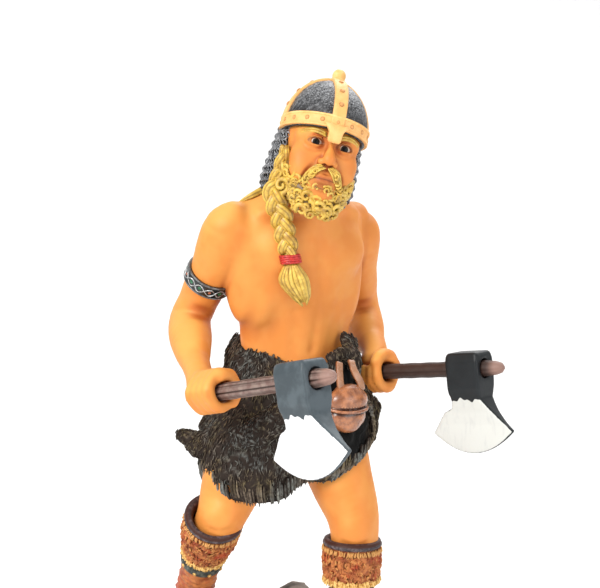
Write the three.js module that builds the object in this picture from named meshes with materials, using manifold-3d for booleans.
// A painted resin figurine of a bearded Norse warrior. He strides over rocks, bare-chested in a fur kilt,
// a banded helmet and fur-cuffed boots, and holds an axe out in each fist.
// Lengths are millimetres. +X is the side of his left hand, -Y the side he faces and +Z up.
// The origin is the centre of the rock base's flat underside.

import * as THREE from 'three';
import { mergeVertices } from 'three/addons/utils/BufferGeometryUtils.js';
import Module from 'manifold-3d';

const wasm = await Module();
wasm.setup();

const point = (x, y, z) => new THREE.Vector3(x, y, z);
const radians = THREE.MathUtils.degToRad;
const UP = point(0, 0, 1);
const CLEARANCE = 0.3; // between a separate piece and the one that holds it

// Driving dimensions.

// The head is turned and tilted as a whole. Its own origin is the centre of the helmet's brim.
const HEAD_CENTRE = point(15.6, -20, 213);
const HEAD_ROLL = radians(15);
const HEAD_YAW = radians(12);
const HEAD_PITCH = radians(-12);

// Torso sections from the crotch up: height, centre x and y, half width, half depth, turn in degrees.
const TORSO = [
  [112, 4, 1, 11, 9, 18],
  [120, 4, 1, 16.5, 13, 20],
  [132, 4.5, 0.5, 18, 13.5, 22],
  [144, 6.3, -0.8, 18.2, 13, 27],
  [152, 7, -2.2, 18.4, 13, 30],
  [162, 6.4, -4.5, 21.6, 14.3, 33],
  [172, 6.4, -5.8, 24.2, 15, 34],
  [180, 6.8, -6.6, 24.6, 13.8, 34],
  [186, 7.6, -7.4, 22.8, 11.4, 33],
  [190.5, 8.8, -8.6, 17, 9.6, 32],
  [194, 10.6, -10.6, 10, 8.6, 28],
];

const TORSO_SIDES = 20;
const ARMBAND_AT = 0.28; // share of the arm's length from the shoulder
const PECTORAL_HEIGHT = 172;
const PECTORAL_SPREAD = 36;
const PECTORAL_SWELL = 2;

// Limb stations from the trunk outwards: x, y, z, radius.
const RIGHT_ARM = [
  [-13.2, -18.8, 186.2, 5],
  [-14.9, -17.6, 181, 8.5],
  [-18.3, -13.8, 172.4, 7.7],
  [-22, -9, 165.4, 6.7],
  [-25.6, -3.6, 158.2, 6.2],
  [-28.9, 0.5, 152, 6.4],
  [-28.5, -7, 147.4, 6.7],
  [-27, -15.5, 143.2, 5.6],
  [-25, -24, 140, 4.6],
  [-23.4, -31, 137.6, 4.3],
  [-22.4, -35.5, 135.6, 4.6],
];
const LEFT_ARM = [
  [26.2, 8.4, 185.6, 5],
  [26.8, 10.5, 180.2, 8.3],
  [27.2, 15.8, 172, 7.5],
  [27.7, 22, 164.8, 6.7],
  [28.8, 28.6, 158, 6],
  [30, 34, 151.8, 6.1],
  [30.5, 27.5, 147, 6.4],
  [31.5, 19.5, 143.6, 5.6],
  [33.2, 12.6, 140.6, 4.6],
  [33.6, 9, 138.4, 4.4],
  [33, 6.4, 136, 4.6],
];
const RIGHT_LEG = [
  [-5, -2, 124, 12.8],
  [-10, -7.5, 110, 12],
  [-14.4, -11.8, 98, 10],
  [-17.4, -14.2, 89.5, 8.2],
  [-20, -12, 83.6, 7.5],
  [-23, -6, 77, 6.6],
];
const LEFT_LEG = [
  [13, 3, 124, 12.8],
  [18, -3, 110, 12],
  [22, -7.6, 97.5, 10.2],
  [25.2, -10.5, 88.5, 8.7],
  [26, -12, 80, 7.8],
  [25.2, -12, 68, 7.2],
];

// Each axe: where its handle passes the fist, which way it points, and its size against the pattern's.
const RIGHT_AXE = { grip: point(-18.2, -42.6, 133.6), aim: point(37.3, -37.5, 11.3), size: 1.02, turn: 1 };
const LEFT_AXE = { grip: point(33.3, 1.6, 133.6), aim: point(41.4, -34.1, 6.5), size: 0.98, turn: -1 };
const HANDLE_RADIUS = 2.4;
const HANDLE_REACH = 51; // from the fist's centre to the tip
const HANDLE_BUTT = 6.6; // from the fist's centre to the other end
const AXE_HEAD_AT = 38; // from the fist's centre to the middle of the socket
const SOCKET_LENGTH = 12.2;
const SOCKET_WIDTH = 10.4;
const SOCKET_TOP = 5.6;
const EDGE_DROP = 27.8;
const FINGER_RADIUS = 2;
const FINGER_PITCH = 3;

// Fur kilt: round an upright axis at KILT_CENTRE, by height and by angle from +X.
const KILT_CENTRE = point(5.3, 0.5, 0);
const KILT_SIDES = 32;
// How the kilt swells from waist to hem: half width and half depth at even steps of height.
const KILT_SWELL = [
  [19.6, 14.6],
  [22.6, 16.8],
  [23.4, 18],
  [25, 20],
  [28, 22.6],
  [29.2, 23.6],
  [28.8, 23.4],
  [26.6, 21.4],
];
const FUR_RELIEF = 0.6;

// Boots: the line of each shin from the cuff's rim to the ankle, and the sole's heel, toe and height.
const RIGHT_BOOT = {
  shin: [[-19.9, -14.2, 87.2], [-22.9, -6.6, 77.6], [-26, 2, 66.5], [-29, 10.6, 55], [-32, 19, 44.5]],
  cuff: [9.3, 9, 7.4],
  cuffLength: 0.36,
  shaft: 6.4,
  heel: point(-36, 23.5, 0),
  toe: point(-23.5, -4, 0),
  ground: 36,
};
const LEFT_BOOT = {
  shin: [[25.3, -12, 80.6], [25, -12, 70], [25, -11.8, 58], [25.2, -11.4, 42], [25.4, -11, 27]],
  cuff: [9.3, 9.7, 8.8],
  cuffLength: 0.3,
  shaft: 6.6,
  heel: point(22.6, -6.6, 0),
  toe: point(37, -30.5, 0),
  ground: 16.3,
};

const HELMET = { halfWidth: 13.2, halfLength: 15.4, rise: 16, band: 4.6, stand: 0.9, knob: 2.4 };
const BASE_HEIGHT = 15;
const BASE_HALF_WIDTH = 56;
const BASE_HALF_DEPTH = 47;

// Making solids.

function toSolid(geometry) {
  const bare = new THREE.BufferGeometry();
  bare.setAttribute('position', geometry.getAttribute('position'));
  if (geometry.index) bare.setIndex(geometry.index);
  const merged = mergeVertices(bare, 1e-4);
  const vertProperties = new Float32Array(merged.attributes.position.array);
  const triVerts = new Uint32Array(merged.index.array);
  const solid = new wasm.Manifold(new wasm.Mesh({ numProp: 3, vertProperties, triVerts }));
  if (solid.volume() > 0) return solid;
  for (let i = 0; i < triVerts.length; i += 3) {
    [triVerts[i + 1], triVerts[i + 2]] = [triVerts[i + 2], triVerts[i + 1]];
  }
  return new wasm.Manifold(new wasm.Mesh({ numProp: 3, vertProperties, triVerts }));
}

const join = (solids) => solids.reduce((whole, next) => whole.add(next));

// The same solid without the sealed pockets inside it.
const filled = (solid) => join(solid.decompose().filter((shell) => shell.volume() > 0));

function toMesh(solid, name, material) {
  const made = solid.getMesh();
  const geometry = new THREE.BufferGeometry();
  geometry.setAttribute('position', new THREE.BufferAttribute(made.vertProperties, 3));
  geometry.setIndex(new THREE.BufferAttribute(made.triVerts, 1));
  geometry.computeVertexNormals();
  const mesh = new THREE.Mesh(geometry, material);
  mesh.name = name;
  return mesh;
}

// A closed skin over rings of equal count, with a point at each end.
function loft(rings, first, last) {
  const sides = rings[0].length;
  const points = [first, ...rings.flat(), last];
  const end = points.length - 1;
  const index = [];
  for (let side = 0; side < sides; side += 1) {
    const next = (side + 1) % sides;
    index.push(0, 1 + next, 1 + side);
    for (let row = 0; row + 1 < rings.length; row += 1) {
      const low = 1 + row * sides;
      const high = low + sides;
      index.push(low + side, low + next, high + next, low + side, high + next, high + side);
    }
    index.push(end, end - sides + side, end - sides + next);
  }
  const geometry = new THREE.BufferGeometry().setFromPoints(points);
  geometry.setIndex(index);
  return toSolid(geometry);
}

// A smooth line through limb stations, with its radius: at(share) gives place, radius and frame.
function limbLine(stations) {
  const line = new THREE.CatmullRomCurve3(stations.map(([x, y, z]) => point(x, y, z)));
  const girth = new THREE.SplineCurve(stations.map(([, , , r], i) => new THREE.Vector2(i, r)));
  return {
    line,
    at(share) {
      const centre = line.getPointAt(share);
      const radius = girth.getPoint(line.getUtoTmapping(share)).y;
      return { centre, radius, along: line.getTangentAt(share) };
    },
  };
}

// A round limb through stations of x, y, z and radius, with blunt rounded ends.
function limb(stations, sides, steps, bluntness = 0.6) {
  const { line, at } = limbLine(stations);
  const frames = line.computeFrenetFrames(steps);
  const rings = [];
  for (let step = 0; step <= steps; step += 1) {
    const { centre, radius } = at(step / steps);
    rings.push(ringOf(centre, frames.normals[step], frames.binormals[step], radius, radius, sides));
  }
  const start = at(0);
  const stop = at(1);
  const first = start.centre.clone().addScaledVector(start.along, -bluntness * start.radius);
  const last = stop.centre.clone().addScaledVector(stop.along, bluntness * stop.radius);
  return loft(rings, first, last);
}

function ringOf(centre, across, through, halfWidth, halfDepth, sides) {
  const ring = [];
  for (let side = 0; side < sides; side += 1) {
    const angle = (side / sides) * 2 * Math.PI;
    const place = centre.clone().addScaledVector(across, halfWidth * Math.cos(angle));
    ring.push(place.addScaledVector(through, halfDepth * Math.sin(angle)));
  }
  return ring;
}

function ball(centre, size, turn = 0, columns = 12, rows = 8) {
  const geometry = new THREE.SphereGeometry(1, columns, rows);
  geometry.scale(size[0], size[1], size[2]).rotateZ(turn);
  return toSolid(geometry.translate(centre.x, centre.y, centre.z));
}

// A rod between two places, widening from one radius to the other.
function rod(from, to, radiusFrom, radiusTo, sides) {
  const along = to.clone().sub(from);
  const geometry = new THREE.CylinderGeometry(radiusTo, radiusFrom, along.length(), sides);
  geometry.translate(0, along.length() / 2, 0);
  geometry.applyQuaternion(new THREE.Quaternion().setFromUnitVectors(point(0, 1, 0), along.normalize()));
  return toSolid(geometry.translate(from.x, from.y, from.z));
}

// A bump of the given height and width, in degrees, about an angle.
function bump(angle, about, width, height) {
  const away = Math.abs(((angle - about + 540) % 360) - 180);
  return away >= width ? 0 : height * 0.5 * (1 + Math.cos((Math.PI * away) / width));
}

// The head's own frame.
const headFrame = new THREE.Matrix4()
  .makeRotationFromEuler(new THREE.Euler(HEAD_PITCH, HEAD_ROLL, HEAD_YAW, 'YZX'))
  .setPosition(HEAD_CENTRE);
const onHead = (x, y, z) => point(x, y, z).applyMatrix4(headFrame);
const putOnHead = (solid) => solid.transform(headFrame.elements);

// The body.

function torso() {
  const rings = TORSO.map(([z, x, y, halfWidth, halfDepth, turn]) => {
    const across = point(Math.cos(radians(turn)), Math.sin(radians(turn)), 0);
    const through = point(-Math.sin(radians(turn)), Math.cos(radians(turn)), 0);
    const ring = ringOf(point(x, y, z), across, through, halfWidth, halfDepth, TORSO_SIDES);
    // The pectorals stand out either side of the breastbone, at -90 degrees.
    const chest = Math.max(0, 1 - Math.abs(z - PECTORAL_HEIGHT) / 12);
    return ring.map((place, side) => {
      const angle = (side / TORSO_SIDES) * 360;
      const swell = bump(angle, -90 + PECTORAL_SPREAD, 36, 1) + bump(angle, -90 - PECTORAL_SPREAD, 36, 1);
      return place.addScaledVector(through, -PECTORAL_SWELL * chest * swell);
    });
  });
  const [bottom, top] = [TORSO[0], TORSO.at(-1)];
  const trunk = loft(rings, point(bottom[1], bottom[2], bottom[0] - 4), point(top[1], top[2], top[0] + 2));
  const neck = [
    [9.5, -9, 184, 9.4],
    [11.5, -12, 192, 7.8],
    [...onHead(0, 4, -16).toArray(), 8],
  ];
  return join([trunk, limb(neck, 10, 3)]);
}

// A fist round a handle. Seen from the axe head, the fingers of the right hand curl anticlockwise.
function fist({ grip, aim, turn }, wrist) {
  const along = aim.clone().normalize();
  const toWrist = point(...wrist).sub(grip);
  toWrist.addScaledVector(along, -toWrist.dot(along)).normalize();
  const across = along.clone().cross(toWrist).multiplyScalar(turn);
  const around = (degrees, radius, shift) =>
    grip
      .clone()
      .addScaledVector(along, shift)
      .addScaledVector(toWrist, radius * Math.cos(radians(degrees)))
      .addScaledVector(across, radius * Math.sin(radians(degrees)));
  const curl = HANDLE_RADIUS + FINGER_RADIUS;
  const digit = (shift, from, to, radius) => {
    const stations = [0, 0.35, 0.7, 1].map((share) => {
      const place = around(from + (to - from) * share, curl + 0.6 * (1 - share), shift);
      return [...place.toArray(), radius * (1 - 0.12 * share)];
    });
    return limb(stations, 5, 4);
  };
  const fingers = [-1.5, -0.5, 0.5, 1.5].map((place) => digit(place * FINGER_PITCH, 50, 245, FINGER_RADIUS));
  const thumb = digit(1.3 * FINGER_PITCH, -15, -110, FINGER_RADIUS * 1.15);
  const palmLine = [-1.7, 0, 1.5].map((place) => [...around(8, 3.6, place * FINGER_PITCH).toArray(), 4.4]);
  return join([limb(palmLine, 8, 2), thumb, ...fingers]);
}

function gripHole({ grip, aim, size }) {
  const along = aim.clone().normalize();
  const from = grip.clone().addScaledVector(along, -HANDLE_BUTT - 4);
  const to = grip.clone().addScaledVector(along, 16);
  const radius = HANDLE_RADIUS * size + CLEARANCE;
  return rod(from, to, radius, radius, 12);
}

function armband(arm) {
  const { at } = limbLine(arm);
  const { centre, radius, along } = at(ARMBAND_AT);
  const half = along.clone().multiplyScalar(2.1);
  return rod(centre.clone().sub(half), centre.clone().add(half), radius + 0.7, radius + 0.7, 14);
}

// The head.

function head() {
  const face = limb([[0, -2.4, -4, 10.9], [0, -3.6, -13, 9.8], [0, -5.4, -20.4, 7.2]], 14, 4, 0.62);
  const nose = limb([[0, -13, -5.6, 1.3], [0, -14.6, -10, 1.7], [0, -14.8, -12.4, 2.5]], 6, 3);
  const brow = limb([[-8.2, -9.4, -4.4, 1.6], [0, -12.8, -3.8, 1.7], [8.2, -9.4, -4.4, 1.6]], 5, 4);
  const lips = limb([[-3, -12.4, -18, 1], [0, -13.6, -17.8, 1.4], [3, -12.4, -18, 1]], 5, 3);
  return putOnHead(join([face, nose, brow, lips]));
}

function helmet() {
  const { halfWidth, halfLength, rise, band, stand, knob } = HELMET;
  const dome = (grow, columns, rows) => {
    const shell = new THREE.SphereGeometry(1, columns, rows, 0, 2 * Math.PI, 0, Math.PI);
    shell.rotateX(Math.PI / 2);
    shell.scale(halfWidth + grow, halfLength + grow, rise + grow);
    return toSolid(shell);
  };
  const slab = (width, depth, height, z) =>
    toSolid(new THREE.BoxGeometry(width, depth, height).translate(0, 0, z));
  const cap = dome(0, 14, 8).intersect(slab(60, 60, 40, 20 - band / 2));
  const ridges = dome(stand, 14, 8).intersect(slab(4.2, 60, 24, 12).add(slab(60, 4.2, 24, 12)));
  const rim = new THREE.CylinderGeometry(1, 1, band, 20).rotateX(Math.PI / 2);
  const brim = toSolid(rim.scale(halfWidth + 1.1, halfLength + 1.1, 1).translate(0, 0, -0.2));
  const nasal = limb([[0, -halfLength - 0.2, -1.6, 2.2], [0, -halfLength + 0.6, -5.4, 1.8]], 6, 2, 0.3);
  const finial = ball(point(0, 0, rise + stand + 1.4), [knob, knob, knob], 0, 8, 6);
  const rivets = [];
  for (let turn = 0; turn < 10; turn += 1) {
    const angle = ((turn + 0.5) / 10) * 2 * Math.PI;
    const place = point((halfWidth + 1) * Math.cos(angle), (halfLength + 1) * Math.sin(angle), 0);
    rivets.push(ball(place, [0.9, 0.9, 0.9], 0, 4, 2));
  }
  for (const share of [0.34, 0.62]) {
    const lift = (share * Math.PI) / 2;
    const place = point(0, -(halfLength + stand) * Math.cos(lift), (rise + stand) * Math.sin(lift));
    rivets.push(ball(place, [0.9, 0.9, 0.9], 0, 4, 2));
  }
  const whole = join([cap, ridges, brim, nasal, finial, ...rivets]);
  return putOnHead(whole);
}

// The mail curtain below the brim: closed round the back of the head, open at the face.
function mailCurtain() {
  // Each row's height, centre, half width and half depth.
  const rows = [
    [-1, 3.4, 13, 12.4],
    [-6, 4.4, 13.8, 12.8],
    [-12, 6.2, 14.4, 13],
    [-17, 8.2, 14.8, 12.6],
    [-20.5, 10.6, 13, 11],
  ];
  const rings = rows.map(([z, y, halfWidth, halfDepth], row) =>
    ringOf(point(0, y, z), point(1, 0, 0), point(0, 1, 0), halfWidth, halfDepth, 20).map((place, side) => {
      const scallop = row > 2 && side % 2 ? 0.9 : 0;
      return place.add(point(0, 0, scallop));
    }),
  );
  return putOnHead(loft(rings, point(0, 4, 1), point(0, 10, -18.5)));
}

function hairLocks() {
  const locks = [];
  for (let lock = 0; lock < 4; lock += 1) {
    const angle = radians(60 + lock * 38);
    const root = onHead(12 * Math.cos(angle), 8 + 11 * Math.sin(angle), -17);
    const sway = -0.55 * Math.cos(angle);
    const tip = point(9 - 16 * sway, 9 - 2 * Math.abs(lock - 1.5), 171 + 5 * Math.abs(lock - 1.5));
    const bend = root.clone().lerp(tip, 0.5).add(point(0, 3, 2));
    locks.push(limb([[...root.toArray(), 4], [...bend.toArray(), 3.8], [...tip.toArray(), 1.4]], 5, 3));
  }
  const shoulderLock = (offset) =>
    limb(
      [
        [...onHead(-12, 5 + offset, -16).toArray(), 2.8],
        [-4 - offset, -11 + offset * 2, 193.5, 2.4],
        [-11.5, -12 + offset * 2, 190.4 - offset * 0.3, 0.9],
      ],
      5,
      4,
    );
  return join([...locks, shoulderLock(0), shoulderLock(2.4)]);
}

// A string of round lumps along a line: a tube that swells once for each lump.
function beaded(line, lumps, radius, sides) {
  const steps = lumps * 3;
  const frames = line.computeFrenetFrames(steps);
  const rings = [];
  for (let step = 0; step <= steps; step += 1) {
    const swell = radius * (step % 3 ? 1 : 0.58);
    const centre = line.getPointAt(step / steps);
    rings.push(ringOf(centre, frames.normals[step], frames.binormals[step], swell, swell, sides));
  }
  return loft(rings, line.getPointAt(0), line.getPointAt(1));
}

// The beard: two rows of curls from ear to ear round the jaw, and a moustache that droops to meet them.
function beard() {
  const row = (drop, halfWidth, reach, lumps, radius) => {
    const places = [];
    for (let stop = 0; stop <= 8; stop += 1) {
      const angle = Math.PI * (1 + stop / 8);
      const sink = Math.sin(Math.PI * (stop / 8));
      places.push(onHead(halfWidth * Math.cos(angle), -2.5 - reach * sink, drop + 7 - 9.4 * sink));
    }
    return beaded(new THREE.CatmullRomCurve3(places), lumps, radius, 5);
  };
  const moustache = [-1, 1].map((side) => {
    const line = [
      [0.4 * side, -14.4, -14.8, 1.1],
      [3.6 * side, -13.2, -15.8, 1.4],
      [6.2 * side, -10.6, -19.6, 1.4],
    ];
    return limb(line, 5, 3);
  });
  return join([putOnHead(join(moustache)), row(-20.4, 10.4, 9.4, 8, 2.7), row(-24.4, 8.2, 9.6, 6, 2.8)]);
}

// A three-strand braid from the right temple over the chest, tied above a loose tail.
function braid() {
  const path = new THREE.CatmullRomCurve3([
    onHead(-11.6, -5, -9),
    point(1, -28, 198),
    point(0, -28.6, 192.6),
    point(2, -27.2, 187.6),
    point(3.4, -25.4, 181),
    point(5, -24.6, 173.4),
  ]);
  const columns = [-1, 1].map((side) => {
    const frames = path.computeFrenetFrames(15);
    const rings = frames.tangents.map((tangent, step) => {
      const across = point(1, -0.2, 0);
      const outwards = tangent.clone().cross(across).normalize();
      const lump = (step + (side > 0 ? 0 : 1)) % 3 ? 1 : 0.6;
      const narrow = 1 - 0.22 * (step / 15);
      const centre = path.getPointAt(step / 15).addScaledVector(across, side * 1.7 * narrow);
      return ringOf(centre, across, outwards, 2.1 * narrow * lump, 2 * narrow * lump, 4);
    });
    return loft(rings, path.getPointAt(0), path.getPointAt(1));
  });
  const tie = rod(point(4.6, -24.6, 174.6), point(5.3, -24.2, 171.8), 3, 3, 8);
  const tuft = [
    [5.3, -24.2, 172, 2.8],
    [6.2, -23.8, 167.4, 4.6],
    [7.6, -22.8, 163, 3.6],
    [9.4, -21, 159, 0.9],
  ];
  return join([...columns, tie, limb(tuft, 7, 4)]);
}

// The kilt.

const kiltTop = (angle) => 146 - bump(angle, -68, 95, 8.5);
// The hem dips over his right thigh and rises over his left.
const kiltHem = (angle) =>
  100 -
  bump(angle, -118, 55, 6.5) -
  bump(angle, -165, 45, 4) +
  bump(angle, 0, 80, 10) +
  bump(angle, 180, 30, 3);

function kiltPlace(angle, row) {
  const share = row / (KILT_SWELL.length - 1);
  const [halfWidth, halfDepth] = KILT_SWELL[row];
  const z = THREE.MathUtils.lerp(kiltTop(angle), kiltHem(angle), share);
  const fold = 1 + 0.03 * Math.min(1, share * 1.5) * Math.sin(radians(angle * 5 + 40 * share));
  const turn = radians(angle);
  const thigh = 1 + share * (bump(angle, -130, 55, 0.16) + bump(angle, -170, 45, 0.14));
  const x = KILT_CENTRE.x + thigh * fold * halfWidth * Math.cos(turn);
  const y = KILT_CENTRE.y + thigh * fold * halfDepth * Math.sin(turn);
  return point(x, y, z);
}

function kilt() {
  const last = KILT_SWELL.length - 1;
  const rings = KILT_SWELL.map((swell, row) => {
    const ring = [];
    for (let side = 0; side < KILT_SIDES; side += 1) {
      const place = kiltPlace((side / KILT_SIDES) * 360 - 180, row);
      const outwards = place.clone().sub(KILT_CENTRE).setZ(0).normalize();
      place.addScaledVector(outwards, (side + row) % 2 ? FUR_RELIEF : -FUR_RELIEF);
      if (row === last) place.z += side % 2 ? 1.3 : -1.3;
      ring.push(place);
    }
    return ring;
  });
  // Inside the hem the skin turns in and up.
  const inner = rings[last].map((place) => {
    const axis = KILT_CENTRE.clone().setZ(place.z);
    return place.clone().lerp(axis, 0.3).setZ(place.z + 5);
  });
  rings.push(inner);
  const shell = loft(rings, KILT_CENTRE.clone().setZ(138), KILT_CENTRE.clone().setZ(112));
  // The pelt's paw hangs at his right hip and parts in two; a roll of fur runs from it across the front.
  const paw = [[-14, -8, 114, 7], [-22, -7.4, 110.6, 6], [-26, -7.2, 110.2, 4.6]];
  const upperToe = limb([...paw, [-30.2, -7.2, 112.7, 2.5]], 7, 4);
  const lowerToe = limb([...paw, [-29, -7.2, 107.4, 2.6]], 7, 4);
  const roll = [
    [8, -20, 128, 3.2],
    [1, -22.5, 122, 4.6],
    [-9, -20.5, 115.5, 4.8],
    [-19, -12, 112, 3.8],
  ];
  return join([shell, upperToe, lowerToe, limb(roll, 7, 6)]);
}

// The leather pouch on two straps at his left front, its flap closed over the bag.
function pouch() {
  const centre = point(23.6, -17.6, 125.6);
  const turn = radians(38);
  const out = point(Math.sin(turn), -Math.cos(turn), 0);
  const across = point(Math.cos(turn), Math.sin(turn), 0);
  const at = (side, forward, rise) =>
    centre.clone().addScaledVector(across, side).addScaledVector(out, forward).add(point(0, 0, rise));
  const bag = ball(at(0, 1, -3.5), [6.4, 4.2, 6], turn, 10, 6);
  const flap = ball(at(0, 1.6, 0.6), [7, 4.6, 4.6], turn, 10, 5);
  const straps = [-1, 1].map((side) => {
    const line = [at(side * 2.6, 1.2, 3), at(side * 3, 1, 8), at(side * 3.4, -1.5, 14)];
    return limb(line.map((place) => [...place.toArray(), 1.3]), 5, 3);
  });
  const button = ball(at(0, 6, 1.4), [1.3, 1.3, 1.3], 0, 6, 4);
  return join([bag, flap, button, ...straps]);
}

// The boots.

// One sleeve down the shin: rim band, ragged fur cuff, then the shaft with its binding.
function boot({ shin, cuff, cuffLength, shaft, heel, toe, ground }) {
  const line = new THREE.CatmullRomCurve3(shin.map(([x, y, z]) => point(x, y, z)));
  const sides = 12;
  const tie = cuffLength + 0.03;
  const rows = [
    [0, cuff[0] + 0.8],
    [0.07, cuff[0] + 0.8],
    [0.08, cuff[0]],
    [cuffLength / 2, cuff[1]],
    [cuffLength, cuff[2], 2],
    [tie, shaft],
    [tie + 0.005, shaft + 0.9],
    [tie + 0.055, shaft + 0.9],
    [tie + 0.06, shaft],
    [1, shaft],
  ];
  const rings = rows.map(([share, reach, ragged = 0]) => {
    const along = line.getTangentAt(share);
    const through = along.clone().cross(point(1, 0, 0)).normalize();
    const side = through.clone().cross(along).normalize();
    const ring = ringOf(line.getPointAt(share), side, through, reach, reach, sides);
    return ring.map((place, i) => place.addScaledVector(along, i % 2 ? ragged : 0));
  });
  const sleeve = loft(rings, line.getPointAt(0.02), line.getPointAt(1));
  const ankle = line.getPointAt(1);
  const z = ground;
  const forward = toe.clone().sub(heel);
  const length = forward.length();
  forward.normalize();
  const footRing = (share, halfWidth, height) => {
    const centre = heel.clone().lerp(toe, share).setZ(z + height / 2);
    return ringOf(centre, forward.clone().cross(UP), UP, halfWidth, height / 2, 8).map((place) =>
      place.setZ(Math.max(place.z - 0.35 * Math.max(0, z + height / 2 - place.z), z)),
    );
  };
  // Slices from heel to toe: share of the foot's length, half width and height.
  const outline = [
    [-0.06, 3.4, 6],
    [0.1, 5, 10.5],
    [0.35, 5.1, 11],
    [0.6, 5.8, 8.4],
    [0.85, 5.4, 6.6],
    [1.02, 3, 4.6],
  ];
  const slices = outline.map(([share, halfWidth, height]) => footRing(share, halfWidth, height));
  const behind = heel.clone().addScaledVector(forward, -0.1 * length).setZ(z + 2.5);
  const ahead = toe.clone().addScaledVector(forward, 0.08 * length).setZ(z + 2);
  const foot = loft(slices, behind, ahead);
  const instep = heel.clone().lerp(toe, 0.3).setZ(z + 6);
  const aboveAnkle = ankle.clone().add(point(0, 0, 2));
  const joint = limb([[...aboveAnkle.toArray(), shaft], [...instep.toArray(), 5.4]], 8, 3);
  return join([sleeve, foot, joint]);
}

// The axes.

function axe({ grip, aim, size }) {
  const along = aim.clone().normalize();
  const across = UP.clone().cross(along).normalize();
  const upright = along.clone().cross(across);
  const frame = new THREE.Matrix4().makeBasis(along, across, upright).setPosition(grip);
  const handle = join([
    rod(point(-HANDLE_BUTT, 0, 0), point(HANDLE_REACH - 5, 0, 0), HANDLE_RADIUS, HANDLE_RADIUS * 1.08, 10),
    rod(point(HANDLE_REACH - 5, 0, 0), point(HANDLE_REACH, 0, 0), HANDLE_RADIUS * 1.08, 0.9, 10),
  ]);
  // The cheek's outline, from the poll down the heel side, along the edge and up the toe side.
  const half = SOCKET_LENGTH / 2;
  const cheek = new THREE.Shape();
  cheek.moveTo(half - 1.6, SOCKET_TOP);
  cheek.lineTo(-half + 1.6, SOCKET_TOP);
  cheek.quadraticCurveTo(-half, SOCKET_TOP, -half, SOCKET_TOP - 2);
  cheek.lineTo(-half, -7.8);
  cheek.quadraticCurveTo(-5, -9.6, -6.6, -12.6);
  cheek.lineTo(-9.9, -14);
  cheek.quadraticCurveTo(-12.8, -17, -15.6, -21);
  cheek.quadraticCurveTo(-1, -2 * EDGE_DROP + 20.8, 14.6, -20.4);
  cheek.quadraticCurveTo(8.4, -14.6, 5.6, -9.4);
  cheek.lineTo(half, -4);
  cheek.lineTo(half, SOCKET_TOP - 2);
  cheek.quadraticCurveTo(half, SOCKET_TOP, half - 1.6, SOCKET_TOP);
  const cut = { depth: SOCKET_WIDTH, bevelEnabled: false, curveSegments: 4 };
  const thick = new THREE.ExtrudeGeometry(cheek, cut);
  thick.rotateX(Math.PI / 2).translate(AXE_HEAD_AT, SOCKET_WIDTH / 2, 0);
  // The wedge: full width at the socket, thinning to the edge.
  const side = [
    [SOCKET_WIDTH / 2 - 1.4, 8],
    [SOCKET_WIDTH / 2, 2.6],
    [SOCKET_WIDTH / 2, -6],
    [4.3, -9.4],
    [2.4, -14],
    [1.3, -18],
    [0.4, -29],
  ];
  const mirrored = side.map(([x, y]) => [-x, y]).reverse();
  const wedge = new THREE.Shape([...mirrored, ...side].map(([x, y]) => new THREE.Vector2(x, y)));
  const profile = new THREE.ExtrudeGeometry(wedge, { depth: 60, bevelEnabled: false });
  profile.rotateX(Math.PI / 2).rotateZ(Math.PI / 2).translate(AXE_HEAD_AT - 30, 0, 0);
  const whole = handle.add(toSolid(thick).intersect(toSolid(profile)));
  return whole.scale([size, size, size]).transform(frame.elements);
}

// The rock base.

// A boulder: an icosahedron with its corners pushed in and out by a fixed rule, then stretched.
function boulder(centre, size, seed, detail = 1) {
  const geometry = new THREE.IcosahedronGeometry(1, detail);
  const places = geometry.getAttribute('position');
  for (let i = 0; i < places.count; i += 1) {
    const place = point(places.getX(i), places.getY(i), places.getZ(i));
    const wave =
      Math.sin(place.x * 5.1 + seed) +
      Math.sin(place.y * 4.3 + 2.1 * seed) +
      Math.sin(place.z * 4.7 + 3.7 * seed);
    place.multiplyScalar(1 + 0.07 * wave);
    places.setXYZ(i, place.x, place.y, place.z);
  }
  geometry.scale(...size).rotateZ(seed).translate(centre.x, centre.y, centre.z);
  return toSolid(geometry);
}

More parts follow.
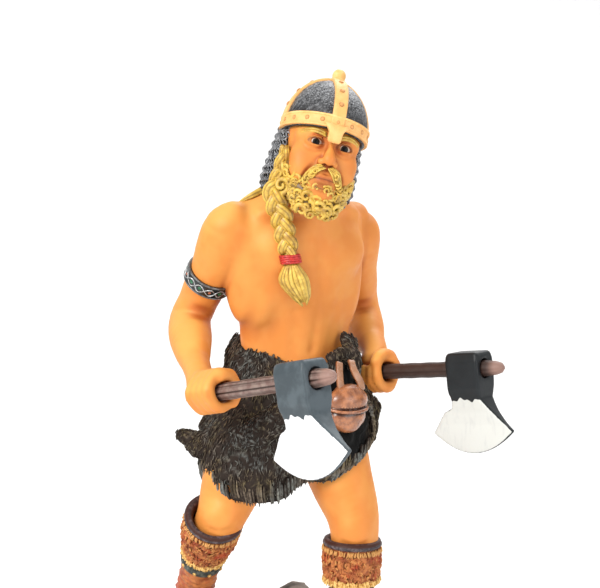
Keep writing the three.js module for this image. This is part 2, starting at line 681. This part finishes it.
function rockBase() {
  const sides = 24;
  const ring = (grow, z) => {
    const places = [];
    for (let side = 0; side < sides; side += 1) {
      const angle = (side / sides) * 2 * Math.PI;
      const jag = side % 2 ? 0.012 : -0.012;
      const rough = 1 + 0.04 * Math.sin(angle * 3 + 1) + 0.025 * Math.sin(angle * 7 + 2 * z) + jag;
      const x = (BASE_HALF_WIDTH + grow) * rough * Math.cos(angle);
      const y = (BASE_HALF_DEPTH + grow) * rough * Math.sin(angle);
      places.push(point(x, y, z));
    }
    return places;
  };
  const top = BASE_HEIGHT;
  const rings = [ring(-3, 0), ring(-1, 4), ring(-3, 9), ring(-9, top - 1), ring(-17, top + 0.6)];
  const slab = loft(rings, point(0, 0, 0), point(0, 0, top + 1));
  const rocks = [
    boulder(point(6.2, 15, 24), [17, 13, 33.4], 1.3, 2),
    boulder(point(-30, 15, 18), [19, 22, 21], 2.2, 1),
    boulder(point(-40, -14, 10), [9, 8, 9], 4.4),
    boulder(point(-22, -28, 11), [10, 8, 7], 0.4),
    boulder(point(3, -33, 10), [8, 6, 7], 5.2),
    boulder(point(38, 14, 12), [11, 12, 12], 3.1),
    boulder(point(20, 32, 11), [13, 8, 10], 2.7),
    boulder(point(-12, 30, 13), [11, 8, 11], 0.9),
  ];
  const below = toSolid(new THREE.BoxGeometry(300, 300, 60).translate(0, 0, -30));
  const room = ({ heel, toe, ground }, width) => {
    const middle = heel.clone().lerp(toe, 0.5);
    const length = heel.distanceTo(toe) + 9;
    const turn = Math.atan2(toe.y - heel.y, toe.x - heel.x);
    const block = new THREE.CylinderGeometry(length / 2, length / 2, 60, 18).rotateX(Math.PI / 2);
    block.scale(1, width / length, 1).rotateZ(turn);
    return toSolid(block.translate(middle.x, middle.y, ground - CLEARANCE + 30));
  };
  return join([slab, ...rocks]).subtract(below).subtract(room(LEFT_BOOT, 18)).subtract(room(RIGHT_BOOT, 18));
}

// The figurine.

function warrior() {
  const body = [
    torso(),
    limb(RIGHT_ARM, 11, 10),
    limb(LEFT_ARM, 11, 10),
    limb(RIGHT_LEG, 12, 7),
    limb(LEFT_LEG, 12, 7),
    armband(RIGHT_ARM),
    fist(RIGHT_AXE, RIGHT_ARM.at(-2).slice(0, 3)),
    fist(LEFT_AXE, LEFT_ARM.at(-2).slice(0, 3)),
    head(),
    beard(),
    mailCurtain(),
    helmet(),
    hairLocks(),
    braid(),
    kilt(),
    pouch(),
    boot(RIGHT_BOOT),
    boot(LEFT_BOOT),
  ];
  return filled(join(body).subtract(gripHole(RIGHT_AXE)).subtract(gripHole(LEFT_AXE)));
}

const skin = new THREE.MeshStandardMaterial({ color: 0xe0964e, roughness: 0.5, metalness: 0 });
const steel = new THREE.MeshStandardMaterial({ color: 0x5a6068, roughness: 0.4, metalness: 0.3 });
const stone = new THREE.MeshStandardMaterial({ color: 0x6b6259, roughness: 0.85, metalness: 0 });

const figurine = new THREE.Group();
figurine.name = 'viking_warrior_figurine';
figurine.add(toMesh(warrior(), 'warrior_figure', skin));
figurine.add(toMesh(axe(RIGHT_AXE), 'right_hand_axe', steel));
figurine.add(toMesh(axe(LEFT_AXE), 'left_hand_axe', steel));
figurine.add(toMesh(rockBase(), 'rock_base', stone));

export default figurine;
